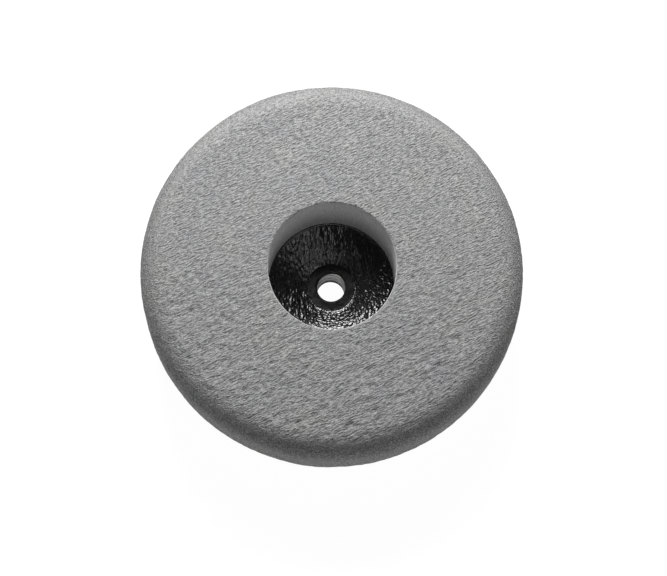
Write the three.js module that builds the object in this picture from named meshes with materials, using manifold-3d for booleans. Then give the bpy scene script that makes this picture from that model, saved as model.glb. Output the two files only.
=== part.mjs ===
// Felt polishing wheel: a thick pressed-felt ring bonded to a dished backing plate
// that is moulded round a threaded steel hub.
//
// Units are millimetres. +Z runs along the spindle axis, towards the polishing face.
// The origin is the centre of the hub's rear seat, the face that meets the spindle's shoulder.

import * as THREE from "three";
import { mergeVertices } from "three/addons/utils/BufferGeometryUtils.js";
import Module from "manifold-3d";

const wasm = await Module();
wasm.setup();

// ---------------------------------------------------------------- driving dimensions

const felt = {
  diameter: 160,
  thickness: 37,
  frontRound: 13, // height of the working edge's rounding
  shoulderRound: 10, // which is tighter next to the polishing face
  shoulderSweep: 50, // degrees
  rearRound: 10,
  recessDiameter: 53.6,
  mouthRound: 0.8, // softened edge where the recess meets the polishing face
  backCornerRound: 0.5, // the same where it meets the bond
};

const hub = {
  length: 17,
  threadMajor: 14, // M14 coarse
  threadPitch: 2,
  threadDepth: 1.0825, // of an ISO thread, on the diameter, in pitches
  neckDiameter: 21, // the ring round the hole at the bottom of the recess
  collarDiameter: 26,
  acrossFlats: 22, // for an open spanner
  flatsHeight: 5,
  flangeAcrossCorners: 42, // hexagonal, so that it can't turn in the plate
  flangeBottom: 7.5,
  flangeThickness: 3.5,
  frontChamfer: 0.6, // at the mouths of the threaded hole
  rearChamfer: 1.2,
  edgeBreak: 0.5,
};

const plate = {
  diameter: 125,
  wall: 4.6,
  dishDepth: 5.4, // how far the hub's front lies behind the plate's flat front
  dishDiameter: 52,
  bossDiameter: 50,
  bossBottom: 5,
  edgeRound: 1.6,
  creaseRound: 3, // softens the dish's outer crease
};

const bond = {
  thickness: 0.6,
  diameter: 121,
  innerDiameter: 22,
  bead: 1, // height and width of the bead squeezed up the wall of the recess
  beadWaist: 0.38, // how near the bead's hollow comes to the corner
};

const rib = {
  count: 8,
  width: 3,
  reach: 58, // radius at the outer end
  bottom: 6.6,
  toeHeight: 0.8,
};

const fitGap = 0.1; // between the hub and the plate moulded round it
const restGap = 0.05; // between the plate and the bond laid on it
const past = 1; // how far a cutter runs past the face that it cuts
const turns = 64; // facets round the large turned pieces
const hubTurns = 36; // facets round the hub
const threadTurns = 28; // steps in one turn of the thread

// ---------------------------------------------------------------- derived places

const plateFrontZ = hub.length + plate.dishDepth;
const feltRearZ = plateFrontZ + bond.thickness;
const feltFrontZ = feltRearZ + felt.thickness;
const plateRearZ = plateFrontZ - plate.wall;
const threadMinor = hub.threadMajor - hub.threadDepth * hub.threadPitch;

// ---------------------------------------------------------------- shape helpers

/** Points [radius, z] on an arc; angles in degrees, 0 pointing outwards and 90 towards +Z. */
function arc(centreR, centreZ, radius, from, to, steps) {
  return Array.from({ length: steps + 1 }, (_, i) => {
    const angle = THREE.MathUtils.degToRad(from + ((to - from) * i) / steps);
    return [centreR + radius * Math.cos(angle), centreZ + radius * Math.sin(angle)];
  });
}

/** Turns a closed outline of [radius, z] points about Z, with its faces pointing out. */
function turned(outline, facets) {
  const loop = outline.map(([r, z]) => new THREE.Vector2(r, z));
  if (THREE.ShapeUtils.isClockWise(loop)) loop.reverse();
  loop.push(loop[0].clone());
  return new THREE.LatheGeometry(loop, facets).rotateX(Math.PI / 2);
}

/** A manifold solid of a closed geometry. */
function solid(geometry) {
  const bare = new THREE.BufferGeometry();
  bare.setAttribute("position", geometry.getAttribute("position"));
  bare.setIndex(geometry.index);
  const merged = mergeVertices(bare, 1e-4);
  const mesh = new wasm.Mesh({
    numProp: 3,
    vertProperties: merged.attributes.position.array,
    triVerts: new Uint32Array(merged.index.array),
  });
  return new wasm.Manifold(mesh);
}

/** The geometry of a manifold solid. */
function geometryOf(manifold) {
  const { vertProperties, triVerts } = manifold.getMesh();
  const geometry = new THREE.BufferGeometry();
  geometry.setAttribute("position", new THREE.BufferAttribute(vertProperties, 3));
  geometry.setIndex(new THREE.BufferAttribute(triVerts, 1));
  geometry.computeVertexNormals();
  return geometry;
}

function named(name, geometry, color, roughness, metalness = 0) {
  const material = new THREE.MeshStandardMaterial({ color, roughness, metalness });
  const mesh = new THREE.Mesh(geometry, material);
  mesh.name = name;
  return mesh;
}

// ---------------------------------------------------------------- felt

/** The felt ring: flat polishing face, rounded rim, straight recess wall, flat back. */
function feltRing() {
  const rim = felt.diameter / 2;
  const wall = felt.recessDiameter / 2;
  const { frontRound, shoulderRound, shoulderSweep } = felt;
  const { rearRound, mouthRound, backCornerRound } = felt;
  const lean = 90 - shoulderSweep;
  const up = Math.sin(THREE.MathUtils.degToRad(lean));
  const out = Math.cos(THREE.MathUtils.degToRad(lean));
  const sideRound = (frontRound - shoulderRound * (1 - up)) / up;
  const shoulder = rim - sideRound * (1 - out) - shoulderRound * out;
  const outline = [
    ...arc(rim - rearRound, feltRearZ + rearRound, rearRound, -90, 0, 6),
    ...arc(rim - sideRound, feltFrontZ - frontRound, sideRound, 0, lean, 4),
    ...arc(shoulder, feltFrontZ - shoulderRound, shoulderRound, lean, 90, 5).slice(1),
    ...arc(wall + mouthRound, feltFrontZ - mouthRound, mouthRound, 90, 180, 2),
    ...arc(wall + backCornerRound, feltRearZ + backCornerRound, backCornerRound, 180, 270, 1),
  ];
  return turned(outline, turns);
}

// ---------------------------------------------------------------- plate and bond

/** The plate's dished front from the hub outwards, as [radius, z] points. */
function dishedFront(innerRadius) {
  const dishRadius = plate.dishDiameter / 2;
  const neckRadius = hub.neckDiameter / 2;
  const slope = Math.atan2(plate.dishDepth, dishRadius - neckRadius);
  const tangent = plate.creaseRound * Math.tan(slope / 2);
  const slopeDegrees = THREE.MathUtils.radToDeg(slope);
  const crease = arc(
    dishRadius + tangent,
    plateFrontZ - plate.creaseRound,
    plate.creaseRound,
    90 + slopeDegrees,
    90,
    3,
  );
  return [[innerRadius, hub.length + (innerRadius - neckRadius) * Math.tan(slope)], ...crease];
}

/** A straight gusset from the boss to the plate's underside, standing in the XZ plane. */
function gusset() {
  const inner = plate.bossDiameter / 2 - 1;
  const top = plateRearZ + 1;
  const profile = new THREE.Shape([
    new THREE.Vector2(inner, rib.bottom),
    new THREE.Vector2(inner + 2, rib.bottom),
    new THREE.Vector2(rib.reach, plateRearZ - rib.toeHeight),
    new THREE.Vector2(rib.reach, top),
    new THREE.Vector2(inner, top),
  ]);
  const slab = new THREE.ExtrudeGeometry(profile, { depth: rib.width, bevelEnabled: false });
  return slab.translate(0, 0, -rib.width / 2).rotateX(Math.PI / 2);
}

/** The dished plate with its rear boss and gussets, cut to take the hub. */
function backingPlate() {
  const rim = plate.diameter / 2;
  const boss = plate.bossDiameter / 2;
  const { edgeRound, bossBottom } = plate;
  const outline = [
    ...dishedFront(hub.neckDiameter / 2 - 2),
    ...arc(rim - edgeRound, plateFrontZ - edgeRound, edgeRound, 90, 0, 3),
    ...arc(rim - edgeRound, plateRearZ + edgeRound, edgeRound, 0, -90, 3),
    [boss, plateRearZ],
    ...arc(boss - edgeRound, bossBottom + edgeRound, edgeRound, 0, -90, 3),
    [hub.neckDiameter / 2 - 2, bossBottom],
  ];
  let body = solid(turned(outline, turns));
  for (let i = 0; i < rib.count; i++) {
    const turn = (i * 2 * Math.PI) / rib.count;
    body = body.add(solid(gusset().rotateZ(turn)));
  }
  return geometryOf(body.subtract(hubBlank(fitGap, past)));
}

/** The adhesive brushed over the plate's front, with the bead that it makes against the felt. */
function bondCoat() {
  const wall = felt.recessDiameter / 2;
  const under = dishedFront(bond.innerDiameter / 2).map(([r, z]) => [r, z + restGap]);
  const over = under.map(([r, z]) => [r, z + bond.thickness - restGap]);
  const outline = [
    ...under,
    [bond.diameter / 2, plateFrontZ + restGap],
    [bond.diameter / 2, feltRearZ],
    [wall, feltRearZ],
    [wall - fitGap, feltRearZ + bond.bead],
    [wall - bond.beadWaist, feltRearZ + bond.beadWaist],
    [wall - bond.bead, feltRearZ],
    ...over.reverse(),
  ];
  return turned(outline, turns);
}

// ---------------------------------------------------------------- hub

/** The hub without its thread and flats, grown by a clearance all round and made longer. */
function hubBlank(clearance = 0, longer = 0) {
  const neck = hub.neckDiameter / 2 + clearance;
  const collar = hub.collarDiameter / 2 + clearance;
  const shoulder = hub.flangeBottom + hub.flangeThickness;
  const [rear, front] = [-longer, hub.length + longer];
  const outline = [
    [0, rear],
    [collar - hub.edgeBreak, rear],
    [collar, rear + hub.edgeBreak],
    [collar, shoulder],
    [neck, shoulder],
    [neck, front - hub.edgeBreak],
    [neck - hub.edgeBreak, front],
    [0, front],
  ];
  const flangeRadius = hub.flangeAcrossCorners / 2 + clearance;
  const flangeHeight = hub.flangeThickness + 2 * clearance;
  const flange = new THREE.CylinderGeometry(flangeRadius, flangeRadius, flangeHeight, 6);
  flange.rotateX(Math.PI / 2).translate(0, 0, hub.flangeBottom + hub.flangeThickness / 2);
  return solid(turned(outline, hubTurns)).add(solid(flange));
}

/** A cone that chamfers the hole's mouth: its wide end is past the mouth, towards +Z. */
function mouthCone(chamfer) {
  const minor = threadMinor / 2;
  const outline = [
    [0, -chamfer - past],
    [minor - past, -chamfer - past],
    [minor + chamfer + past, past],
    [0, past],
  ];
  return turned(outline, hubTurns);
}

/**
 * The space inside the thread: a right-hand screw that runs past both of the hub's faces.
 * Each pitch of it has a narrow root flat, a flank, a wide crest flat and a flank.
 */
function threadScrew() {
  const { threadMajor, threadPitch, length } = hub;
  const section = [
    [threadMajor / 2, -threadPitch / 16],
    [threadMajor / 2, threadPitch / 16],
    [threadMinor / 2, threadPitch * (3 / 8)],
    [threadMinor / 2, threadPitch * (5 / 8)],
  ];
  const start = -1.7 * threadPitch;
  const rows = section.length * (Math.ceil(length / threadPitch) + 4);
  const positions = [];
  for (let column = 0; column < threadTurns; column++) {
    const angle = (column * 2 * Math.PI) / threadTurns;
    const rise = start + (column / threadTurns) * threadPitch;
    for (let row = 0; row <= rows; row++) {
      const [r, z] = section[row % section.length];
      const pitches = Math.floor(row / section.length);
      positions.push(r * Math.cos(angle), r * Math.sin(angle), z + rise + pitches * threadPitch);
    }
  }
  // One full turn on, the screw meets its first column a pitch higher.
  const at = (column, row) =>
    column < threadTurns ? column * (rows + 1) + row : row + section.length;
  const index = [];
  for (let column = 0; column < threadTurns; column++) {
    const top = column < threadTurns - 1 ? rows : rows - section.length;
    for (let row = 0; row < top; row++) {
      const [a, b] = [at(column, row), at(column + 1, row)];
      const [c, d] = [at(column + 1, row + 1), at(column, row + 1)];
      index.push(a, b, c, a, c, d);
    }
  }
  // Each end is a ramp with one step, closed by a fan round the axis.
  const columns = Array.from({ length: threadTurns }, (_, column) => column);
  const step = Array.from({ length: section.length }, (_, row) => row + 1);
  const last = threadTurns - 1;
  const lowEnd = [...columns.map((column) => at(column, 0)).reverse(), ...step];
  const highEnd = [
    ...columns.map((column) => at(column, rows)),
    ...step.map((down) => at(last, rows - down)),
  ];
  for (const ring of [lowEnd, highEnd]) {
    const centre = positions.length / 3;
    positions.push(0, 0, positions[ring[0] * 3 + 2]);
    ring.forEach((vertex, i) => index.push(centre, vertex, ring[(i + 1) % ring.length]));
  }
  const screw = new THREE.BufferGeometry();
  screw.setAttribute("position", new THREE.Float32BufferAttribute(positions, 3));
  screw.setIndex(index);
  return screw;
}

/** The steel hub: seat, spanner flats, hexagonal flange, neck and threaded hole. */
function threadedHub() {
  const frontCone = mouthCone(hub.frontChamfer).translate(0, 0, hub.length);
  const rearCone = mouthCone(hub.rearChamfer).rotateX(Math.PI);
  let body = hubBlank().subtract(solid(threadScrew()));
  body = body.subtract(solid(frontCone)).subtract(solid(rearCone));
  const reach = hub.collarDiameter / 2;
  for (const side of [-1, 1]) {
    const cut = new THREE.BoxGeometry(2 * (reach + past), 2 * reach, hub.flatsHeight + past);
    cut.translate(0, side * (hub.acrossFlats / 2 + reach), (hub.flatsHeight - past) / 2);
    body = body.subtract(solid(cut));
  }
  return geometryOf(body);
}

// ---------------------------------------------------------------- assembly

const wheel = new THREE.Group();
wheel.add(
  named("felt_wheel", feltRing(), 0x9c9c9b, 0.95),
  named("bond_coat", bondCoat(), 0x0c0c0d, 0.4),
  named("backing_plate", backingPlate(), 0x141415, 0.6),
  named("threaded_hub", threadedHub(), 0xa7abae, 0.35, 1),
);

export default wheel;
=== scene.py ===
"""Looks of a felt polishing wheel: thick pressed grey felt, bonded with black adhesive to a
moulded backing plate that holds a threaded steel hub.

Everything is in metres, in the CAD model's frame: +Z runs along the spindle axis towards the
polishing face, and the origin is the centre of the hub's rear seat, on which the wheel lies.
"""

import math

import bpy
import numpy as np
from mathutils import Matrix, Vector


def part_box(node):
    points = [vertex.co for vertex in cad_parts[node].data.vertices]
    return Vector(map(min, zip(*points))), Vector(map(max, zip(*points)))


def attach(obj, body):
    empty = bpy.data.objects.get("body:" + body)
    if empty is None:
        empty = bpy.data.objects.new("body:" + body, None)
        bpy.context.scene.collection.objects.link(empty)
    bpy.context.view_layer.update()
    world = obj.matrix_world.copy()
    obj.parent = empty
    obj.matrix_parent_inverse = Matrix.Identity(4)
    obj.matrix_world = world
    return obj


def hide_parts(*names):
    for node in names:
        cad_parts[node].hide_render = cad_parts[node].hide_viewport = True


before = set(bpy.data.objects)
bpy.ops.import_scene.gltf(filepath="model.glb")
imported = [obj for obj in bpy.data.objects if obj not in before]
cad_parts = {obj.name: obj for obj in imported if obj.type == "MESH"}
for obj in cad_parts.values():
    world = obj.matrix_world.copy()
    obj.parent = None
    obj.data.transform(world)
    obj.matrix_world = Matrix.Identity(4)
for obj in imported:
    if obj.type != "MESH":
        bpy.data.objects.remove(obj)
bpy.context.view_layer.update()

MM = 0.001


# ---------------------------------------------------------------- sizes from the frame


def radii(node):
    """The least and greatest distance of a CAD node's points from the axis."""
    points = np.array([v.co[:2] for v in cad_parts[node].data.vertices])
    distance = np.hypot(points[:, 0], points[:, 1])
    return float(distance.min()), float(distance.max())


FELT_LOW, FELT_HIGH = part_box("felt_wheel")
HUB_LOW, HUB_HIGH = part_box("threaded_hub")
PLATE_LOW, PLATE_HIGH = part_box("backing_plate")
RECESS_R, RIM_R = radii("felt_wheel")
BORE_R, FLANGE_R = radii("threaded_hub")
PLATE_R = radii("backing_plate")[1]
COAT_OUTER_R = radii("bond_coat")[1]

FACE_Z = FELT_HIGH.z
FELT_REAR_Z = FELT_LOW.z
HUB_FRONT_Z = HUB_HIGH.z
BOSS_Z = PLATE_LOW.z
PLATE_FRONT_Z = PLATE_HIGH.z

# Sizes that the boxes don't give. All but MOUTH_ROUND are as the CAD model has them.
FRONT_ROUND = 13 * MM
SHOULDER_ROUND = 10 * MM  # the front round is tighter towards the face, over this
SHOULDER_SWEEP = 50  # many of its 90 degrees
REAR_ROUND = 10 * MM
MOUTH_ROUND = 1 * MM  # 0.8 mm in the CAD model
BACK_CORNER_ROUND = 0.5 * MM
NECK_R = 10.5 * MM  # the hub in front of its flange
COLLAR_R = 13 * MM  # the hub behind its flange
FLAT_HALF = 11 * MM  # from the axis to a spanner flat
FLATS_TOP = 5 * MM
FLANGE_Z = (7.5 * MM, 11 * MM)
PITCH = 2 * MM  # of the hub's M14 thread
THREAD_MAJOR_R = 7 * MM
FRONT_CHAMFER = 0.6 * MM
REAR_CHAMFER = 1.2 * MM
DISH_R = 26 * MM  # where the plate's dished front becomes flat
COAT_THICKNESS = 0.6 * MM
PLATE_WALL = 4.6 * MM
BOSS_R = 25 * MM
RIB_COUNT = 8  # the gussets on the plate's back
RIB_REACH = 58 * MM
RIB_FOOT_Z = 6.6 * MM  # their lower edge at the boss
RIB_TOE = 0.8 * MM  # the height of their outer end


# ---------------------------------------------------------------- camera, lights and floor

CAMERA_DISTANCE = 1.2  # from the polishing face
CAMERA_TILT = math.radians(12.4)  # from the wheel's axis, towards -Y
CAMERA_ROLL = math.radians(-3.55)
CAMERA_LENS = 156.3  # in millimetres
CAMERA_SENSOR = 36  # the picture's width on the sensor, in millimetres
CAMERA_NEAREST = 0.01
SUBJECT_RIGHT = -0.5 * MM  # the face's centre from the picture's centre
SUBJECT_UP = 9.3 * MM

KEY_AZIMUTH = math.radians(10)  # from +Y towards -X
KEY_ELEVATION = math.radians(48)
KEY_DISTANCE = 0.47
KEY_SIZE = 0.26
KEY_POWER = 3.55
AMBIENT = 0.042  # the room's light from all round, and then from its bright part
SKYLIGHT = 1.7
SKY_MIDDLE = (0.4, -0.33, 0.855)  # the way to the bright part's middle
SKY_SPREAD = math.radians(14)  # from its middle to where it ends
BACKDROP = 1.0
FLOOR_WIDTH = 12
FLOOR_GAP = 0.1 * MM  # below the hub's rear seat
FLOOR_COLOUR = (0.1, 0.1, 0.1)
FLOOR_ROUGHNESS = 0.9
FLOOR_GLOW = 0.97


def add_camera():
    """The camera looks down on the polishing face, tilted and rolled as a hand-held one."""
    back = Vector((0, -math.sin(CAMERA_TILT), math.cos(CAMERA_TILT)))
    level = Vector((1, 0, 0))
    rise = Vector((0, math.cos(CAMERA_TILT), math.sin(CAMERA_TILT)))
    right = math.cos(CAMERA_ROLL) * level - math.sin(CAMERA_ROLL) * rise
    up = math.sin(CAMERA_ROLL) * level + math.cos(CAMERA_ROLL) * rise
    place = Vector((0, 0, FACE_Z)) + CAMERA_DISTANCE * back
    place -= SUBJECT_RIGHT * right + SUBJECT_UP * up
    data = bpy.data.cameras.new("camera")
    data.lens = CAMERA_LENS
    data.sensor_width = CAMERA_SENSOR
    data.clip_start = CAMERA_NEAREST
    camera = bpy.data.objects.new("camera", data)
    turn = Matrix((right, up, back)).transposed().to_4x4()
    camera.matrix_world = Matrix.Translation(place) @ turn
    bpy.context.scene.collection.objects.link(camera)
    bpy.context.scene.camera = camera


def add_key_light():
    """One soft square light beyond the wheel, facing the polishing face's centre."""
    direction = Vector((
        -math.sin(KEY_AZIMUTH) * math.cos(KEY_ELEVATION),
        math.cos(KEY_AZIMUTH) * math.cos(KEY_ELEVATION),
        math.sin(KEY_ELEVATION),
    ))
    data = bpy.data.lights.new("key", "AREA")
    data.energy = KEY_POWER
    data.size = KEY_SIZE
    light = bpy.data.objects.new("key", data)
    light.location = Vector((0, 0, FACE_Z)) + KEY_DISTANCE * direction
    light.rotation_euler = direction.to_track_quat("Z", "Y").to_euler()
    bpy.context.scene.collection.objects.link(light)


def add_surroundings():
    """A dim room with one brighter part, seen as a pale backdrop, and a glowing pale floor."""
    world = bpy.data.worlds.new("room")
    bpy.context.scene.world = world
    world.use_nodes = True
    tree = world.node_tree
    tree.nodes.clear()
    look = add_node(tree, "ShaderNodeTexCoord").outputs["Generated"]
    near = add_node(
        tree, "ShaderNodeVectorMath", {0: look, 1: SKY_MIDDLE}, operation="DOT_PRODUCT"
    )
    strength = add_node(
        tree,
        "ShaderNodeMapRange",
        {
            "Value": near.outputs["Value"],
            "From Min": math.cos(SKY_SPREAD),
            "From Max": 1.0,
            "To Min": AMBIENT,
            "To Max": SKYLIGHT,
        },
        interpolation_type="SMOOTHSTEP",
    ).outputs[0]
    white = (1, 1, 1, 1)
    room = add_node(tree, "ShaderNodeBackground", {"Color": white, "Strength": strength})
    backdrop = add_node(tree, "ShaderNodeBackground", {"Color": white, "Strength": BACKDROP})
    seen = add_node(tree, "ShaderNodeLightPath").outputs["Is Camera Ray"]
    shaders = {0: seen, 1: room.outputs[0], 2: backdrop.outputs[0]}
    mix = add_node(tree, "ShaderNodeMixShader", shaders)
    output = add_node(tree, "ShaderNodeOutputWorld")
    tree.links.new(mix.outputs[0], output.inputs["Surface"])

    bpy.ops.mesh.primitive_plane_add(size=FLOOR_WIDTH, location=(0, 0, HUB_LOW.z - FLOOR_GAP))
    floor = bpy.context.object
    floor.name = "floor"
    material = bpy.data.materials.new("pale_floor")
    material.use_nodes = True
    shader = material.node_tree.nodes["Principled BSDF"]
    shader.inputs["Base Color"].default_value = (*FLOOR_COLOUR, 1)
    shader.inputs["Roughness"].default_value = FLOOR_ROUGHNESS
    shader.inputs["Emission Color"].default_value = (1, 1, 1, 1)
    shader.inputs["Emission Strength"].default_value = FLOOR_GLOW
    floor.data.materials.append(material)


# ---------------------------------------------------------------- noise for the surfaces

NOISE_GAIN = 1.6  # brings the noise to about -1 to 1
HASH_AXES = (73856093, 19349663, 83492791)  # large odd numbers that scramble a point,
HASH_SEED = 2654435761  # its seed,
HASH_MIXERS = (2246822519, 3266489917)  # and then all its bits
HASH_BITS = 0xFFFFFFFF
RANDOM_BITS = 0xFFFFFF
SECOND_SEED = 101  # added for the second number of a direction


def lattice_random(x, y, z, seed):
    """A repeatable number from 0 to 1 for each whole-numbered point."""
    mixed = (x * HASH_AXES[0]) ^ (y * HASH_AXES[1]) ^ (z * HASH_AXES[2]) ^ (seed * HASH_SEED)
    mixed &= HASH_BITS
    mixed = ((mixed ^ (mixed >> 15)) * HASH_MIXERS[0]) & HASH_BITS
    mixed = ((mixed ^ (mixed >> 13)) * HASH_MIXERS[1]) & HASH_BITS
    return ((mixed ^ (mixed >> 16)) & RANDOM_BITS) / float(RANDOM_BITS)


def noise(points, size, seed=0):
    """Smooth gradient noise, about -1 to 1. size is a feature's size, one number or three."""
    place = points / np.asarray(size, float)
    cell = np.floor(place).astype(np.int64)
    inside = place - cell
    ease = inside**3 * (inside * (inside * 6 - 15) + 10)
    total = np.zeros(len(points))
    for corner in range(8):
        step = np.array([corner & 1, corner >> 1 & 1, corner >> 2 & 1])
        x, y, z = (cell + step).T
        turn = 2 * np.pi * lattice_random(x, y, z, seed)
        rise = 2 * lattice_random(x, y, z, seed + SECOND_SEED) - 1
        flat = np.sqrt(1 - rise**2)
        away = inside - step
        slope = away[:, 0] * flat * np.cos(turn) + away[:, 1] * flat * np.sin(turn)
        slope += away[:, 2] * rise
        weight = np.prod(np.where(step, ease, 1 - ease), axis=1)
        total += weight * slope
    return total * NOISE_GAIN


def layered(points, layers):
    """A sum of noises. Each layer has a depth, a feature's size and a seed."""
    return sum(depth * noise(points, size, seed) for depth, size, seed in layers)


def wavering(points, size, seeds):
    """Three noises side by side, which shift a pattern to and fro."""
    return np.stack([noise(points, size, seed) for seed in seeds], axis=1)


def turned_about_z(points, angle):
    """The points' coordinates on axes turned by an angle about Z."""
    cos, sin = math.cos(angle), math.sin(angle)
    x, y, z = points.T
    return np.stack([cos * x + sin * y, -sin * x + cos * y, z], axis=1)


def smooth(value, low, high):
    """0 below low, 1 above high, and a smooth rise between."""
    t = np.clip((value - low) / (high - low), 0, 1)
    return t * t * (3 - 2 * t)


# ---------------------------------------------------------------- outlines and meshes


def line(start, end, step):
    """Points [radius, z] from start up to but not including end, about step apart."""
    start, end = np.array(start, float), np.array(end, float)
    count = max(1, round(float(np.hypot(*(end - start))) / step))
    return start + (end - start) * np.linspace(0, 1, count, endpoint=False)[:, None]


def arc(centre, radius, first, last, step):
    """The same along an arc. Angles are in degrees, 0 outwards and 90 towards +Z."""
    sweep = math.radians(last - first)
    count = max(1, round(abs(sweep) * radius / step))
    angle = math.radians(first) + sweep * np.linspace(0, 1, count, endpoint=False)
    return np.array(centre) + radius * np.stack([np.cos(angle), np.sin(angle)], axis=1)


def angles(columns):
    """The angles of evenly spread columns, in radians."""
    return np.linspace(0, 2 * np.pi, columns, endpoint=False)


def revolved(outline, columns):
    """The rings of points that a closed outline makes as it turns, [row, column, xyz]."""
    turn = angles(columns)
    radius = outline[:, 0][:, None]
    height = np.broadcast_to(outline[:, 1][:, None], (len(outline), columns))
    return np.stack([radius * np.cos(turn), radius * np.sin(turn), height], axis=2)


def ring_normals(rings):
    """Outward normals of a surface given as rings of points, from its own neighbours."""
    along = np.roll(rings, -1, 0) - np.roll(rings, 1, 0)
    around = np.roll(rings, -1, 1) - np.roll(rings, 1, 1)
    normal = np.cross(around, along)
    return normal / np.maximum(np.linalg.norm(normal, axis=2, keepdims=True), 1e-12)


def ring_mesh(name, rings, sharp_degrees=None):
    """A closed ring-shaped mesh. Each ring joins the next, and the last joins the first."""
    rows, columns, _ = rings.shape
    index = np.arange(rows * columns).reshape(rows, columns)
    up = np.roll(index, -1, 0)
    faces = np.stack([index, np.roll(index, -1, 1), np.roll(up, -1, 1), up], axis=2)
    mesh = bpy.data.meshes.new(name)
    mesh.from_pydata(rings.reshape(-1, 3).tolist(), [], faces.reshape(-1, 4).tolist())
    mesh.validate()
    mesh.polygons.foreach_set("use_smooth", [True] * len(mesh.polygons))
    if sharp_degrees:
        mesh.set_sharp_from_angle(angle=math.radians(sharp_degrees))
    piece = bpy.data.objects.new(name, mesh)
    bpy.context.scene.collection.objects.link(piece)
    return piece


def paint_rows(piece, slots, columns):
    """Sets which of its materials each row of a ring mesh has."""
    slots = np.repeat(np.asarray(slots, np.int32), columns)
    piece.data.polygons.foreach_set("material_index", slots)


# ---------------------------------------------------------------- node materials


def add_node(tree, kind, inputs=None, **settings):
    """Adds a node. An input is a number, a colour or another node's output."""
    made = tree.nodes.new(kind)
    for name, value in settings.items():
        setattr(made, name, value)
    for name, value in (inputs or {}).items():
        if isinstance(value, bpy.types.NodeSocket):
            tree.links.new(value, made.inputs[name])
        else:
            made.inputs[name].default_value = value
    return made


def new_material(name, **sockets):
    """A material, its node tree, its shader, and its object coordinates."""
    material = bpy.data.materials.new(name)
    material.use_nodes = True
    tree = material.node_tree
    shader = tree.nodes["Principled BSDF"]
    for socket, value in sockets.items():
        shader.inputs[socket.replace("_", " ")].default_value = value
    place = add_node(tree, "ShaderNodeTexCoord").outputs["Object"]
    return material, tree, shader, place


def grain(tree, place, size, detail=2.0, stretch=(1, 1, 1), turn=0.0, roughness=0.5):
    """Noise with features of a size in metres, longer along the turned axes by stretch."""
    axes = {"Vector": place, "Rotation": (0, 0, turn), "Scale": stretch}
    mapping = add_node(tree, "ShaderNodeMapping", axes, vector_type="TEXTURE")
    values = {
        "Vector": mapping.outputs[0],
        "Scale": 1 / size,
        "Detail": detail,
        "Roughness": roughness,
    }
    return add_node(tree, "ShaderNodeTexNoise", values).outputs["Fac"]


def grey(value):
    """A grey that has the same value three times."""
    return (value,) * 3


def ramp(tree, fac, low, high, first, last):
    """A colour that goes from first to last as fac goes from low to high."""
    made = add_node(tree, "ShaderNodeValToRGB", {"Fac": fac})
    made.color_ramp.elements[0].position = low
    made.color_ramp.elements[1].position = high
    made.color_ramp.elements[0].color = (*first, 1)
    made.color_ramp.elements[1].color = (*last, 1)
    return made.outputs["Color"]


def add_colour(tree, colour):
    """A plain colour as an output."""
    made = add_node(tree, "ShaderNodeRGB")
    made.outputs[0].default_value = (*colour, 1)
    return made.outputs[0]


def tint(tree, colour, by, fac=1.0):
    """One colour multiplied by another, as far as fac says."""
    made = add_node(
        tree,
        "ShaderNodeMix",
        {0: fac, 6: colour, 7: by},
        data_type="RGBA",
        blend_type="MULTIPLY",
    )
    return made.outputs[2]


def scaled(tree, value, low, high):
    """A value from 0 to 1 spread over low to high."""
    return add_node(
        tree, "ShaderNodeMapRange", {"Value": value, "To Min": low, "To Max": high}
    ).outputs[0]


def bump(tree, height, distance, under=None):
    """The normal of a relief as deep as distance, on top of the normal under it."""
    made = add_node(tree, "ShaderNodeBump", {"Height": height, "Strength": 1.0})
    made.inputs["Distance"].default_value = distance
    if under:
        tree.links.new(under, made.inputs["Normal"])
    return made.outputs["Normal"]


# ---------------------------------------------------------------- felt

FELT_COLOUR = (0.31, 0.31, 0.31)
WALL_COLOUR = (0.58, 0.58, 0.58)  # cut felt, painted lighter than the face's felt to stand in for light that the shaded wall gets
FELT_COLUMNS = 600
NAP_TURN = math.radians(30)  # the way that the felt's surface ridges run, from +X
NAP_WAVER = np.array([1.4, 1.4, 0.5])  # how far they waver, in millimetres
NAP_WAVER_SIZE = 9 * MM
FACE_LEAN = (0.75, 0.99)  # the normal's Z where the ridges begin, and where they are full
SIDE_LEAN = (0.6, 0.95)  # the normal's Z where the side's look is full, and where it ends
WALL_REACH = (0.1 * MM, 1.2 * MM)  # the cuts end between these distances from the wall

# Layers of relief: each has its depth in millimetres, the size of its features and its seed.
# A size is one number, or three: along and across the nap for the ridges, and round the wall,
# nothing and up the wall for the cuts.
RIDGES = (
    (0.16, (2.6 * MM, 1.5 * MM, 1.5 * MM), 21),
    (0.24, (6 * MM, 3 * MM, 3 * MM), 22),
)
PILE = ((0.11, 1.6 * MM, 31), (0.12, 3.1 * MM, 32))
SWELL = ((0.1, 14 * MM, 41), (0.2, 34 * MM, 42))
CUTS = ((0.04, (1.1 * MM, 1, 14 * MM), 51), (0.12, (9 * MM, 1, 24 * MM), 52))
PIT_DEPTH, PIT_SIZE, PIT_SEED = 0.42, (3.4 * MM, 1.9 * MM, 1.9 * MM), 23
PIT_LEVELS = (0.45, 0.8)  # the noise where a pit begins and where it is full
RIDGES_LEAST = 0.7  # the share of their depth that the ridges have on the far side,
RIDGES_GROWTH = 1.15  # what they gain on the near side,
RIDGES_SPAN = (-15 * MM, 35 * MM)  # and between which distances towards -Y

# The sizes of the grains in the felt's material.
CLOUD_SIZE = 16 * MM
FLOCK_SIZE = 0.42 * MM
FIBRE_SIZE = 0.55 * MM
FIBRE_STRETCH = 3.4
MATTED_SIZE = 0.5 * MM
MOTTLE_SIZE = 0.85 * MM
FUZZ_SIZE = 0.4 * MM
CUT_MARK_SIZE = 0.7 * MM
CUT_MARK_STRETCH = 6


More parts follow.
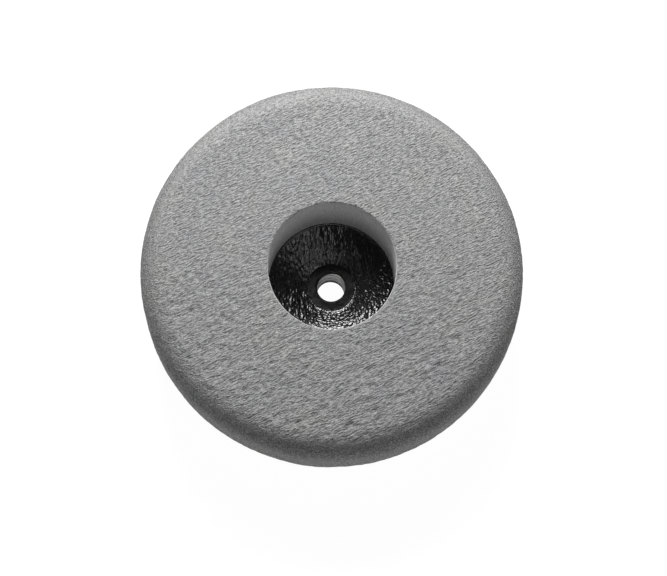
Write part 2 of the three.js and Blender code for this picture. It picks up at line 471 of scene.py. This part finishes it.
def felt_outline():
    """The felt's outline: rear face, rear round, rim, front round, face, mouth and wall.

    The front round is two arcs that meet at an angle of lean: the shoulder, and below it one
    with the larger radius side.
    """
    fine, middle, coarse = 0.65 * MM, 1.3 * MM, 2.6 * MM
    lean = 90 - SHOULDER_SWEEP
    up, out = math.sin(math.radians(lean)), math.cos(math.radians(lean))
    side = (FRONT_ROUND - SHOULDER_ROUND * (1 - up)) / up
    shoulder_r = RIM_R - side * (1 - out) - SHOULDER_ROUND * out
    return np.concatenate([
        arc((RECESS_R + BACK_CORNER_ROUND, FELT_REAR_Z + BACK_CORNER_ROUND),
            BACK_CORNER_ROUND, 180, 270, middle / 4),
        line((RECESS_R + BACK_CORNER_ROUND, FELT_REAR_Z), (COAT_OUTER_R, FELT_REAR_Z), coarse * 2),
        line((COAT_OUTER_R, FELT_REAR_Z), (RIM_R - REAR_ROUND, FELT_REAR_Z), middle),
        arc((RIM_R - REAR_ROUND, FELT_REAR_Z + REAR_ROUND), REAR_ROUND, -90, 0, middle * 0.8),
        line((RIM_R, FELT_REAR_Z + REAR_ROUND), (RIM_R, FACE_Z - FRONT_ROUND), middle * 0.7),
        arc((RIM_R - side, FACE_Z - FRONT_ROUND), side, 0, lean, fine * 1.1),
        arc((shoulder_r, FACE_Z - SHOULDER_ROUND), SHOULDER_ROUND, lean, 90, fine * 1.1),
        line((shoulder_r, FACE_Z), (RECESS_R + MOUTH_ROUND, FACE_Z), fine),
        arc((RECESS_R + MOUTH_ROUND, FACE_Z - MOUTH_ROUND), MOUTH_ROUND, 90, 180, fine / 2),
        line((RECESS_R, FACE_Z - MOUTH_ROUND), (RECESS_R, FELT_REAR_Z + BACK_CORNER_ROUND), middle),
    ])


def felt_relief(points, normals):
    """How far each point of the felt stands off its true shape."""
    radius = np.hypot(points[:, 0], points[:, 1])
    face = smooth(normals[:, 2], *FACE_LEAN)
    wall = smooth(-radius, -(RECESS_R + WALL_REACH[1]), -(RECESS_R + WALL_REACH[0]))
    nap = turned_about_z(points, NAP_TURN)
    nap = nap + wavering(points, NAP_WAVER_SIZE, (11, 12, 13)) * NAP_WAVER * MM
    ridges = layered(nap, RIDGES)
    ridges -= PIT_DEPTH * smooth(noise(nap, PIT_SIZE, PIT_SEED), *PIT_LEVELS)
    ridges *= RIDGES_LEAST + RIDGES_GROWTH * smooth(-points[:, 1], *RIDGES_SPAN)
    turn = np.arctan2(points[:, 1], points[:, 0]) * RECESS_R
    unrolled = np.stack([turn, np.zeros_like(turn), points[:, 2]], axis=1)
    outside = face * ridges + (1 - face) * layered(points, PILE) + layered(points, SWELL)
    return (wall * layered(unrolled, CUTS) + (1 - wall) * outside) * MM


def felt_material():
    """Worked felt: ridged fibres on the face, matted ones and a coarser mottle on the side, with
    painted shade in the fibres' hollows.
    """
    material, tree, shader, place = new_material(
        "grey_pressed_felt",
        Roughness=0.95,
        Specular_IOR_Level=0.15,
        Sheen_Weight=0.05,
        Sheen_Roughness=0.5,
    )
    shader.inputs["Sheen Tint"].default_value = (0.8, 0.8, 0.8, 1)
    normal = add_node(tree, "ShaderNodeNewGeometry").outputs["Normal"]
    lie = add_node(tree, "ShaderNodeSeparateXYZ", {0: normal})
    flat = add_node(
        tree,
        "ShaderNodeMapRange",
        {"Value": lie.outputs["Z"], "From Min": SIDE_LEAN[0], "From Max": SIDE_LEAN[1]},
    ).outputs[0]
    along = grain(tree, place, FIBRE_SIZE, 1, stretch=(FIBRE_STRETCH, 1, 1), turn=NAP_TURN)
    matted = grain(tree, place, MATTED_SIZE, 1)
    fibres = add_node(tree, "ShaderNodeMix", {0: flat, 2: matted, 3: along}).outputs[0]
    clouds = grain(tree, place, CLOUD_SIZE, 3)
    cloud = ramp(tree, clouds, 0.35, 0.65, (0.975, 0.975, 0.99), (1.02, 1.02, 1.01))
    flock = ramp(tree, grain(tree, place, FLOCK_SIZE, 1), 0.3, 0.7, grey(0.66), grey(1.28))
    # painted shade and light: the colour is darker where the fibres' relief is low and lighter
    # where it is high
    painted_hollow_shade = ramp(tree, fibres, 0.32, 0.62, grey(0.59), grey(1.22))
    turned = add_node(
        tree,
        "ShaderNodeMapRange",
        {"Value": lie.outputs["Z"], "From Min": SIDE_LEAN[1], "From Max": SIDE_LEAN[0]},
    ).outputs[0]
    mottle = ramp(tree, grain(tree, place, MOTTLE_SIZE, 2), 0.36, 0.64, grey(0.7), grey(1.24))
    shade = tint(tree, tint(tree, tint(tree, cloud, flock), painted_hollow_shade), mottle, turned)
    colour = tint(tree, shade, add_colour(tree, FELT_COLOUR))
    tree.links.new(colour, shader.inputs["Base Color"])
    fuzz = grain(tree, place, FUZZ_SIZE, 1)
    lower = bump(tree, fibres, 0.8 * MM)
    tree.links.new(bump(tree, fuzz, 0.08 * MM, under=lower), shader.inputs["Normal"])
    return material


def wall_material():
    """The recess's cut wall: fine upright cut marks, and painted light that makes it lighter
    towards the mouth and darker low down.
    """
    material, tree, shader, place = new_material(
        "cut_felt", Roughness=0.95, Specular_IOR_Level=0.15, Sheen_Weight=0.12, Sheen_Roughness=0.5
    )
    height = add_node(tree, "ShaderNodeSeparateXYZ", {0: place}).outputs["Z"]
    painted_mouth_light = add_node(
        tree,
        "ShaderNodeMapRange",
        {"Value": height, "From Min": FELT_REAR_Z, "From Max": FACE_Z - 4 * MM},
        interpolation_type="SMOOTHSTEP",
    ).outputs[0]
    # painted light and shade: the wall is lighter towards the mouth and darker low down, as the
    # light falls off down the recess
    depth = ramp(tree, painted_mouth_light, 0.0, 1.0, grey(0.64), grey(1.4))
    upright = (1, 1, CUT_MARK_STRETCH)
    marks = grain(tree, place, CUT_MARK_SIZE, 3, stretch=upright, roughness=0.6)
    streaks = ramp(tree, marks, 0.3, 0.7, grey(0.86), grey(1.1))
    colour = tint(tree, tint(tree, depth, streaks), add_colour(tree, WALL_COLOUR))
    tree.links.new(colour, shader.inputs["Base Color"])
    fuzz = grain(tree, place, 0.5 * MM, 2)
    lower = bump(tree, marks, 0.3 * MM)
    tree.links.new(bump(tree, fuzz, 0.12 * MM, under=lower), shader.inputs["Normal"])
    return material


def make_felt():
    """The felt ring, with the cut look on the recess's wall and the worked one elsewhere."""
    outline = felt_outline()
    rings = revolved(outline, FELT_COLUMNS)
    normals = ring_normals(rings).reshape(-1, 3)
    points = rings.reshape(-1, 3)
    points = points + normals * felt_relief(points, normals)[:, None]
    piece = ring_mesh("felt", points.reshape(rings.shape))
    piece.data.materials.append(felt_material())
    piece.data.materials.append(wall_material())
    in_wall = outline[:, 0] < RECESS_R + MOUTH_ROUND / 3
    in_wall &= outline[:, 1] < FACE_Z - MOUTH_ROUND / 3
    paint_rows(piece, in_wall, FELT_COLUMNS)
    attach(piece, "root")
    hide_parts("felt_wheel")


# ---------------------------------------------------------------- adhesive

COAT_COLUMNS = 520
COAT_LIP_R = NECK_R - 0.35 * MM  # just over the hub's neck, further in than in the CAD model
DISH_SLOPE = (PLATE_FRONT_Z - HUB_FRONT_Z) / (DISH_R - NECK_R)
BRUSH_TURN = math.radians(8)  # the brush strokes' lean from +Y
DAB_TURN = math.radians(-24)  # the way that the dabs on the near side run, from +X
COAT_SKIN = 0.05 * MM  # the coat's least thickness, and its gap from the plate
COAT_BEAD = 1 * MM  # the bead in the corner between the coat and the felt's wall
COAT_THINS = (-2 * MM, 10 * MM)  # the coat grows thicker between these, from its lip
COAT_BARE = (-0.3 * MM, 0.9 * MM)  # its relief begins between these distances from its lip,
COAT_CALM = (0.4 * MM, 1.5 * MM)  # and ends between these from the felt's wall
COAT_WAVER_SIZE = 6 * MM
STROKES = (  # layers of relief as for the felt, with sizes across and along the strokes
    (0.19, (0.62 * MM, 2.2 * MM, 2.2 * MM), 65),
    (0.14, (1.9 * MM, 13 * MM, 13 * MM), 66),
)
DABS = (
    (0.13, (1.1 * MM, 0.62 * MM, 0.62 * MM), 67),
    (0.06, (3.6 * MM, 1.7 * MM, 1.7 * MM), 68),
)
STROKE_WAVER = 0.5  # in millimetres, as for the dabs
DAB_WAVER = 0.6
BRUSHED_SLOPE = 0.9  # strokes lie above a line that rises this steeply,
BRUSHED_DROP = 2 * MM  # and passes this far below the middle. Dabs lie below it.
BRUSHED_FADE = 26 * MM  # the distance over which dabs give way to strokes
BRUSHED_PATCH = 12 * MM  # the size of the patches that break up that line
BRUSHED_EDGE = 0.35
SCRAPE_MIDDLE = (9 * MM, -16 * MM)  # the scrape is an arc about this point
SCRAPE_R = 33 * MM
SCRAPE_HALF = 0.4 * MM
SCRAPE_DEPTH = 0.1  # in millimetres
SCRAPE_FROM_Y = (3 * MM, 7 * MM)  # it fades in between these,
SCRAPE_FROM_X = (0, 5 * MM)  # and these, towards -X


def dish_z(radius):
    """The height of the plate's dished front."""
    return np.minimum(HUB_FRONT_Z + (radius - NECK_R) * DISH_SLOPE, PLATE_FRONT_Z)


def coat_rings():
    """The adhesive on the plate: the open dish, a bead up the felt's wall, and the bond."""
    fine, coarse = 0.22 * MM, 3 * MM
    top = line((COAT_LIP_R, 0), (RECESS_R - COAT_BEAD, 0), fine)
    full = smooth(top[:, 0], COAT_LIP_R + COAT_THINS[0], COAT_LIP_R + COAT_THINS[1])
    thickness = COAT_THICKNESS * full
    top[:, 1] = np.maximum(dish_z(top[:, 0]), HUB_FRONT_Z) + np.maximum(thickness, COAT_SKIN)
    base = line((COAT_OUTER_R, 0), (COAT_LIP_R, 0), coarse)
    base = np.concatenate([base, [[NECK_R, 0]]])
    base[:, 1] = dish_z(base[:, 0]) + COAT_SKIN
    corner = (RECESS_R - COAT_BEAD, FELT_REAR_Z + COAT_BEAD)
    outline = np.concatenate([
        top,
        arc(corner, COAT_BEAD * 0.97, -90, 0, 0.2 * MM),
        line((RECESS_R - 0.03 * MM, corner[1]), (RECESS_R, FELT_REAR_Z), 0.5 * MM),
        line((RECESS_R, FELT_REAR_Z), (COAT_OUTER_R, FELT_REAR_Z), coarse * 2),
        [[COAT_OUTER_R, FELT_REAR_Z]],
        base,
    ])
    return revolved(outline[::-1], COAT_COLUMNS)


def coat_relief(points, normals):
    """Brush strokes beyond the hub, dabs on its near side, and a curved scrape."""
    radius = np.hypot(points[:, 0], points[:, 1])
    seen = smooth(radius, COAT_LIP_R + COAT_BARE[0], COAT_LIP_R + COAT_BARE[1])
    seen *= 1 - smooth(radius, RECESS_R - COAT_CALM[1], RECESS_R - COAT_CALM[0])
    seen *= normals[:, 2] > 0.3
    waver = wavering(points, COAT_WAVER_SIZE, (61, 62, 63))
    lean = (points[:, 1] - BRUSHED_SLOPE * points[:, 0] + BRUSHED_DROP) / BRUSHED_FADE
    patches = 0.5 * noise(points, BRUSHED_PATCH, 64)
    brushed = smooth(patches + lean, -BRUSHED_EDGE, BRUSHED_EDGE)
    strokes = layered(turned_about_z(points, BRUSH_TURN) + waver * STROKE_WAVER * MM, STROKES)
    dabs = layered(turned_about_z(points, DAB_TURN) + waver * DAB_WAVER * MM, DABS)
    reach = np.hypot(points[:, 0] - SCRAPE_MIDDLE[0], points[:, 1] - SCRAPE_MIDDLE[1])
    scrape = np.exp(-((reach - SCRAPE_R) / SCRAPE_HALF) ** 2)
    scrape *= smooth(points[:, 1], *SCRAPE_FROM_Y)
    scrape *= smooth(-points[:, 0], *SCRAPE_FROM_X)
    relief = brushed * strokes + (1 - brushed) * dabs - SCRAPE_DEPTH * scrape
    return seen * relief * MM


def adhesive_material(name, grain_depth):
    """Glossy black adhesive. Its fine grain is as deep as grain_depth."""
    material, tree, shader, place = new_material(
        name, Specular_IOR_Level=0.78, Coat_Weight=0.15, Coat_Roughness=0.1
    )
    clouds = grain(tree, place, 3 * MM, 3)
    colour = ramp(tree, clouds, 0.3, 0.7, (0.001, 0.001, 0.0012), (0.004, 0.004, 0.0044))
    tree.links.new(colour, shader.inputs["Base Color"])
    gloss = scaled(tree, grain(tree, place, 1.6 * MM, 3), 0.08, 0.3)
    tree.links.new(gloss, shader.inputs["Roughness"])
    fine = grain(tree, place, 0.66 * MM, 1, stretch=(1.5, 1, 1), turn=DAB_TURN)
    tree.links.new(bump(tree, fine, grain_depth), shader.inputs["Normal"])
    return material


def make_adhesive():
    """The adhesive, one closed skin from the hub's neck out to the bond's edge."""
    rings = coat_rings()
    normals = ring_normals(rings).reshape(-1, 3)
    points = rings.reshape(-1, 3)
    points = points + normals * coat_relief(points, normals)[:, None]
    piece = ring_mesh("adhesive", points.reshape(rings.shape), sharp_degrees=60)
    piece.data.materials.append(adhesive_material("black_adhesive", 0.12 * MM))
    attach(piece, "root")
    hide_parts("bond_coat")


# ---------------------------------------------------------------- hub

HUB_COLUMNS = 180
THREAD_ROWS = 150
FRONT_ROWS = 9
BARE_FROM_Z = 5 * MM  # the thread is bare in front of this, and black behind it
EDGE_BREAK = 0.5 * MM
SHELF = 0.01 * MM  # the gap between two rings at a square step
CHAMFER_REACH = 1.6 * FRONT_CHAMFER  # from the bore to the front's inner edge
THREAD_EASE = 0.12  # how far the flanks' smooth ends reach past them
SMEAR_DEPTH = 0.02 * MM  # of the uneven adhesive on the hub's front


def thread_radius(turn, z):
    """The hole's radius at an angle and height: a right-hand thread, chamfered at both ends.

    As in a metric thread, the root is an eighth of the pitch wide, and a flank five sixteenths.
    """
    phase = np.mod(z / PITCH - turn / (2 * np.pi), 1.0)
    from_root = np.minimum(phase, 1 - phase) * PITCH
    depth = np.clip((from_root - PITCH / 16) / (PITCH * 5 / 16), 0, 1)
    ease = smooth(depth, -THREAD_EASE, 1 + THREAD_EASE)
    thread = THREAD_MAJOR_R + (BORE_R - THREAD_MAJOR_R) * ease
    front = BORE_R + z - (HUB_FRONT_Z - FRONT_CHAMFER)
    rear = BORE_R + (HUB_LOW.z + REAR_CHAMFER) - z
    return np.maximum(thread, np.maximum(front, rear))


def hex_radius(turn):
    """The radius of the hexagonal flange at an angle."""
    sector = np.mod(turn, np.pi / 3) - np.pi / 6
    return FLANGE_R * math.cos(math.pi / 6) / np.cos(sector)


def make_hub():
    """The hub: its outside from the seat up, its smeared front, and the thread down again."""
    turn = angles(HUB_COLUMNS)
    rows = []

    def ring(radius, z):
        """Adds a ring of points at a height. radius is one number, or one for each column."""
        x, y = radius * np.cos(turn), radius * np.sin(turn)
        rows.append(np.stack([x, y, np.full(turn.shape, z)], axis=1))

    ring(COLLAR_R - EDGE_BREAK, HUB_LOW.z)
    ring(COLLAR_R, HUB_LOW.z + EDGE_BREAK)
    ring(COLLAR_R, FLATS_TOP - SHELF)
    for row in rows:
        row[:, 1] = np.clip(row[:, 1], -FLAT_HALF, FLAT_HALF)
    ring(COLLAR_R, FLATS_TOP)
    ring(COLLAR_R, FLANGE_Z[0])
    flange = np.maximum(hex_radius(turn), COLLAR_R)
    ring(flange, FLANGE_Z[0] + SHELF)
    ring(flange, FLANGE_Z[1] - SHELF)
    ring(NECK_R, FLANGE_Z[1])
    ring(NECK_R, HUB_FRONT_Z - EDGE_BREAK)
    ring(NECK_R - EDGE_BREAK, HUB_FRONT_Z)
    smeared = len(rows)
    for radius in np.linspace(NECK_R - EDGE_BREAK, BORE_R + CHAMFER_REACH, FRONT_ROWS)[1:]:
        ring(radius, HUB_FRONT_Z)
    bored = len(rows)
    for z in np.linspace(HUB_FRONT_Z, HUB_LOW.z, THREAD_ROWS):
        ring(thread_radius(turn, z), z)
    rings = np.array(rows)
    number, heights = np.arange(len(rows)), rings[:, 0, 2]
    front = (number >= smeared - 1) & (number < bored - 1)
    bare = (heights > BARE_FROM_Z) & (heights < HUB_FRONT_Z - CHAMFER_REACH)
    bare &= number >= bored
    lumps = noise(rings.reshape(-1, 3), 1.6 * MM, 71).reshape(rings.shape[:2])
    rings[:, :, 2] -= SMEAR_DEPTH * (1 + lumps) * (front & (number > smeared))[:, None]
    piece = ring_mesh("hub", rings, sharp_degrees=35)
    piece.data.materials.append(black_steel_material())
    piece.data.materials.append(bare_steel_material())
    piece.data.materials.append(adhesive_material("thin_adhesive", 0.03 * MM))
    paint_rows(piece, bare + 2 * front, HUB_COLUMNS)
    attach(piece, "root")
    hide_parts("threaded_hub")


def turned_marks(tree, place, size):
    """Fine rings left by the lathe, round the axis."""
    split = add_node(tree, "ShaderNodeSeparateXYZ", {"Vector": place})
    flat = add_node(tree, "ShaderNodeCombineXYZ")
    tree.links.new(split.outputs["X"], flat.inputs["X"])
    tree.links.new(split.outputs["Y"], flat.inputs["Y"])
    radius = add_node(tree, "ShaderNodeVectorMath", {0: flat.outputs[0]}, operation="LENGTH")
    across = {"X": radius.outputs["Value"], "Z": split.outputs["Z"]}
    spread = add_node(tree, "ShaderNodeCombineXYZ", across)
    return grain(tree, spread.outputs[0], size, 2)


def black_steel_material():
    """The hub's outside: chemically blackened, turned and a little pitted."""
    material, tree, shader, place = new_material(
        "blackened_steel", Metallic=0.3, Specular_IOR_Level=0.3
    )
    clouds = grain(tree, place, 4 * MM, 4)
    colour = ramp(tree, clouds, 0.3, 0.75, (0.004, 0.004, 0.0045), (0.014, 0.0136, 0.013))
    tree.links.new(colour, shader.inputs["Base Color"])
    marks = turned_marks(tree, place, 0.25 * MM)
    pitted = grain(tree, place, 0.6 * MM, 3, roughness=0.6)
    tree.links.new(scaled(tree, pitted, 0.3, 0.65), shader.inputs["Roughness"])
    lower = bump(tree, pitted, 0.1 * MM)
    tree.links.new(bump(tree, marks, 0.02 * MM, under=lower), shader.inputs["Normal"])
    return material


def bare_steel_material():
    """The thread: bright steel in bands that are partly wear and partly painted glints of its
    crests, and dark between.
    """
    material, tree, shader, place = new_material("bare_thread_steel", Metallic=1.0)
    clouds = grain(tree, place, 2 * MM, 4)
    colour = ramp(tree, clouds, 0.3, 0.75, (0.4, 0.4, 0.4), (0.8, 0.8, 0.78))
    # partly wear and partly painted glints: bright bands round the axis, dark between, for the
    # glints off the thread's crests
    worn_and_glints = ramp(tree, turned_marks(tree, place, 1.3 * MM), 0.38, 0.52, grey(0.06), grey(1))
    tree.links.new(tint(tree, colour, worn_and_glints), shader.inputs["Base Color"])
    marks = grain(tree, place, 0.3 * MM, 3, stretch=(1, 1, 0.4))
    tree.links.new(scaled(tree, marks, 0.25, 0.5), shader.inputs["Roughness"])
    tree.links.new(bump(tree, marks, 0.03 * MM), shader.inputs["Normal"])
    return material


# ---------------------------------------------------------------- backing plate

PLATE_EDGE = 1.6 * MM  # the round of its rim and of the boss's edge
PLATE_REAR_Z = PLATE_FRONT_Z - PLATE_WALL
BOSS_CREASE = 3 * MM  # the hollow round at the boss's foot
BOSS_DRAFT = 0.5 * MM
HUB_GAP = 0.1 * MM  # between the plate and the hub that it holds
# Distances from a gusset's middle, and the part of its height that is lost there.
RIB_STEPS = np.array([0, 0.5, 0.85, 1.1, 1.3, 1.42, 1.5, 1.58, 1.7, 1.9, 2.2, 2.6, 3.1, 3.8]) * MM
RIB_FALL = np.array([0, 0, 0, 0.01, 0.035, 0.09, 0.3, 0.7, 0.86, 0.93, 0.965, 0.985, 0.996, 1])
RIB_BAYS = 7  # columns from a gusset's foot to half way to the next gusset
RIB_START_R = BOSS_R + 1 * MM


def plate_turns(radius):
    """The columns' angles at a radius. Near a gusset they run alongside it."""
    near = np.arcsin(RIB_STEPS / radius)
    far = np.linspace(near[-1], math.pi / RIB_COUNT, RIB_BAYS + 1)[1:]
    half = np.concatenate([near, far])
    sector = np.concatenate([-half[:0:-1], half[:-1]])
    middles = np.arange(RIB_COUNT) * 2 * math.pi / RIB_COUNT
    return (middles[:, None] + sector).ravel()


def rib_fall():
    """The fall from a gusset's crest at each column."""
    half = np.concatenate([RIB_FALL, np.ones(RIB_BAYS)])
    return np.tile(np.concatenate([half[:0:-1], half[:-1]]), RIB_COUNT)


def rib_crest(radius):
    """The height of the gussets' lower edge, which a rounded toe ends."""
    toe = PLATE_REAR_Z - RIB_TOE
    places = [RIB_START_R, RIB_REACH - RIB_TOE, RIB_REACH - RIB_TOE / 3, RIB_REACH + RIB_TOE / 3]
    heights = [RIB_FOOT_Z, toe, toe + RIB_TOE / 3, PLATE_REAR_Z]
    return np.interp(radius, places, heights)


def make_plate():
    """The plate, from the hub's cavity out over the boss, gussets, rim and dished front."""
    fine, coarse = 0.4 * MM, 2.4 * MM
    wall_top = PLATE_REAR_Z - BOSS_CREASE
    foot_r = BOSS_R + BOSS_DRAFT
    rear = np.concatenate([
        line((COLLAR_R + HUB_GAP, BOSS_Z), (BOSS_R - PLATE_EDGE, BOSS_Z), coarse),
        arc((BOSS_R - PLATE_EDGE, BOSS_Z + PLATE_EDGE), PLATE_EDGE, -90, 0, fine),
        line((BOSS_R, BOSS_Z + PLATE_EDGE), (foot_r, wall_top), coarse / 2),
        arc((foot_r + BOSS_CREASE, wall_top), BOSS_CREASE, 180, 90, fine * 2),
        line((foot_r + BOSS_CREASE, PLATE_REAR_Z), (RIB_REACH - 2 * MM, PLATE_REAR_Z), coarse),
        line((RIB_REACH - 2 * MM, PLATE_REAR_Z), (RIB_REACH + 1 * MM, PLATE_REAR_Z), fine / 2),
        line((RIB_REACH + 1 * MM, PLATE_REAR_Z), (PLATE_R - PLATE_EDGE, PLATE_REAR_Z), fine * 2),
    ])
    front = np.concatenate([
        arc((PLATE_R - PLATE_EDGE, PLATE_REAR_Z + PLATE_EDGE), PLATE_EDGE, -90, 0, fine),
        arc((PLATE_R - PLATE_EDGE, PLATE_FRONT_Z - PLATE_EDGE), PLATE_EDGE, 0, 90, fine),
        line((PLATE_R - PLATE_EDGE, PLATE_FRONT_Z), (DISH_R, PLATE_FRONT_Z), coarse * 3),
        line((DISH_R, PLATE_FRONT_Z), (NECK_R + HUB_GAP, HUB_FRONT_Z), coarse),
        [[NECK_R + HUB_GAP, HUB_FRONT_Z]],
    ])
    fall = rib_fall()
    rows = []

    def ring(radius, height, turn):
        """Adds a ring of points at the angles turn."""
        x, y = radius * np.cos(turn), radius * np.sin(turn)
        rows.append(np.stack([x, y, np.broadcast_to(height, turn.shape)], axis=1))

    for radius, height in rear:
        crest = rib_crest(radius)
        gusset = crest + (PLATE_REAR_Z - crest) * fall
        ring(radius, np.minimum(height, gusset), plate_turns(radius))
    for radius, height in front:
        ring(radius, height, plate_turns(radius))
    inside = plate_turns(COLLAR_R)
    cavity = np.maximum(hex_radius(inside), COLLAR_R) + 4 * HUB_GAP
    ring(NECK_R + HUB_GAP, FLANGE_Z[1] + HUB_GAP, inside)
    ring(cavity, FLANGE_Z[1] + HUB_GAP, inside)
    ring(cavity, FLANGE_Z[0] - HUB_GAP, inside)
    ring(COLLAR_R + HUB_GAP, FLANGE_Z[0] - HUB_GAP, inside)
    piece = ring_mesh("plate", np.array(rows), sharp_degrees=50)
    piece.data.materials.append(plate_material())
    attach(piece, "root")
    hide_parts("backing_plate")


def plate_material():
    """Black moulded nylon with a fine grain."""
    material, tree, shader, place = new_material("moulded_nylon", Specular_IOR_Level=0.45)
    clouds = grain(tree, place, 9 * MM, 4)
    colour = ramp(tree, clouds, 0.3, 0.7, (0.014, 0.014, 0.015), (0.028, 0.028, 0.029))
    tree.links.new(colour, shader.inputs["Base Color"])
    skin = grain(tree, place, 0.55 * MM, 2)
    tree.links.new(scaled(tree, skin, 0.4, 0.65), shader.inputs["Roughness"])
    flow = grain(tree, place, 12 * MM, 2)
    lower = bump(tree, flow, 0.3 * MM)
    tree.links.new(bump(tree, skin, 0.09 * MM, under=lower), shader.inputs["Normal"])
    return material


# ---------------------------------------------------------------- the scene

bpy.context.scene.view_settings.view_transform = "Standard"
add_camera()
add_key_light()
add_surroundings()
make_felt()
make_adhesive()
make_hub()
make_plate()
